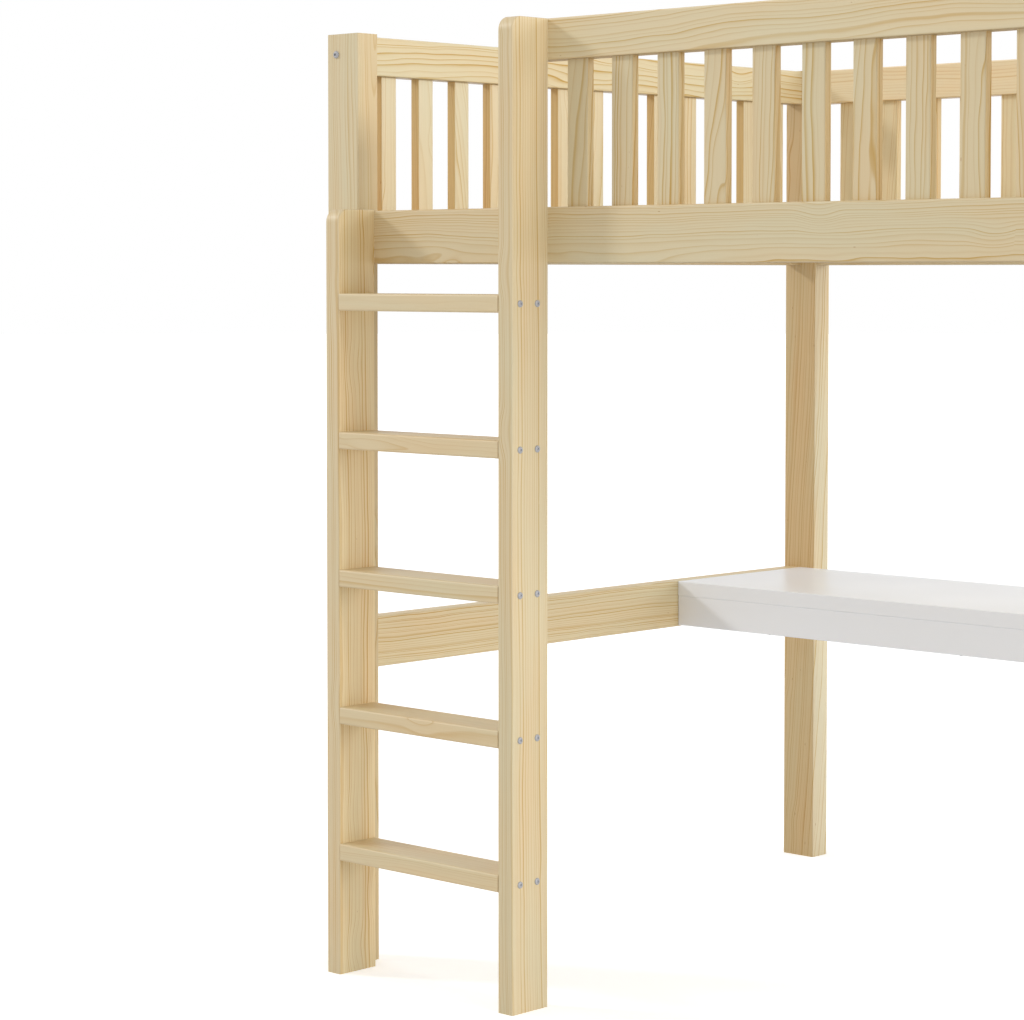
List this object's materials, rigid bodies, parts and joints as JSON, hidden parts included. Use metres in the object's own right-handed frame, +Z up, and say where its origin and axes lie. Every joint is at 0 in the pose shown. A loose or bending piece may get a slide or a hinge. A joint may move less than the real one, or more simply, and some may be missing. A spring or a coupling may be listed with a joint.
{
  "type": "loft bed with desk",
  "caption": "Pine loft bed on corner posts, with slatted guards on all sides, a front ladder, and a white desk set across the back below the bed.",
  "frame": {"origin": "on the floor, at the middle of the whole object's box: midway between the two ends, and midway between the ladder's front and the back", "axes": "+X along the bed's length to the right seen from the ladder side, +Y from the ladder side to the back where the desk is, +Z up"},
  "size_m": [2.118, 1.607, 1.8405],
  "materials": {
    "lacquered_pine": "clear satin lacquer over planed pine with visible growth lines",
    "bare_pine": "planed pine, unlacquered",
    "white_lacquer": "white satin lacquer",
    "zinc_steel": "bright zinc plating",
    "beech_dowel": "fluted beech, unfinished"
  },
  "bodies": {
    "root": {"barrel_nuts": "zinc_steel", "base_screws": "zinc_steel", "base_slat_01": "bare_pine", "base_slat_02": "bare_pine", "base_slat_03": "bare_pine", "base_slat_04": "bare_pine", "base_slat_05": "bare_pine", "base_slat_06": "bare_pine", "base_slat_07": "bare_pine", "base_slat_08": "bare_pine", "base_slat_09": "bare_pine", "base_slat_10": "bare_pine", "base_slat_11": "bare_pine", "base_slat_12": "bare_pine", "base_slat_13": "bare_pine", "beam_hanger_left": "zinc_steel", "beam_hanger_right": "zinc_steel", "centre_beam": "bare_pine", "desk_apron_back": "white_lacquer", "desk_apron_front": "white_lacquer", "desk_batten_left": "white_lacquer", "desk_batten_right": "white_lacquer", "desk_rail_left": "lacquered_pine", "desk_rail_right": "lacquered_pine", "desk_screws": "zinc_steel", "desk_top": "white_lacquer", "dowels": "beech_dowel", "end_rail_left": "lacquered_pine", "end_rail_right": "lacquered_pine", "frame_bolts": "zinc_steel", "guard_rail_back": "lacquered_pine", "guard_rail_front": "lacquered_pine", "guard_rail_left": "lacquered_pine", "guard_rail_right": "lacquered_pine", "guard_slats_back": "lacquered_pine", "guard_slats_front": "lacquered_pine", "guard_slats_left": "lacquered_pine", "guard_slats_right": "lacquered_pine", "hanger_screws": "zinc_steel", "ladder_stile_left": "lacquered_pine", "ladder_stile_right": "lacquered_pine", "ledger_back": "bare_pine", "ledger_front": "bare_pine", "ledger_screws": "zinc_steel", "post_back_left": "lacquered_pine", "post_back_right": "lacquered_pine", "post_front_left": "lacquered_pine", "post_front_right": "lacquered_pine", "rung_1": "lacquered_pine", "rung_2": "lacquered_pine", "rung_3": "lacquered_pine", "rung_4": "lacquered_pine", "rung_5": "lacquered_pine", "rung_screws": "zinc_steel", "side_rail_back": "lacquered_pine", "side_rail_front": "lacquered_pine", "stile_screws": "zinc_steel"}
  },
  "joints": []
}
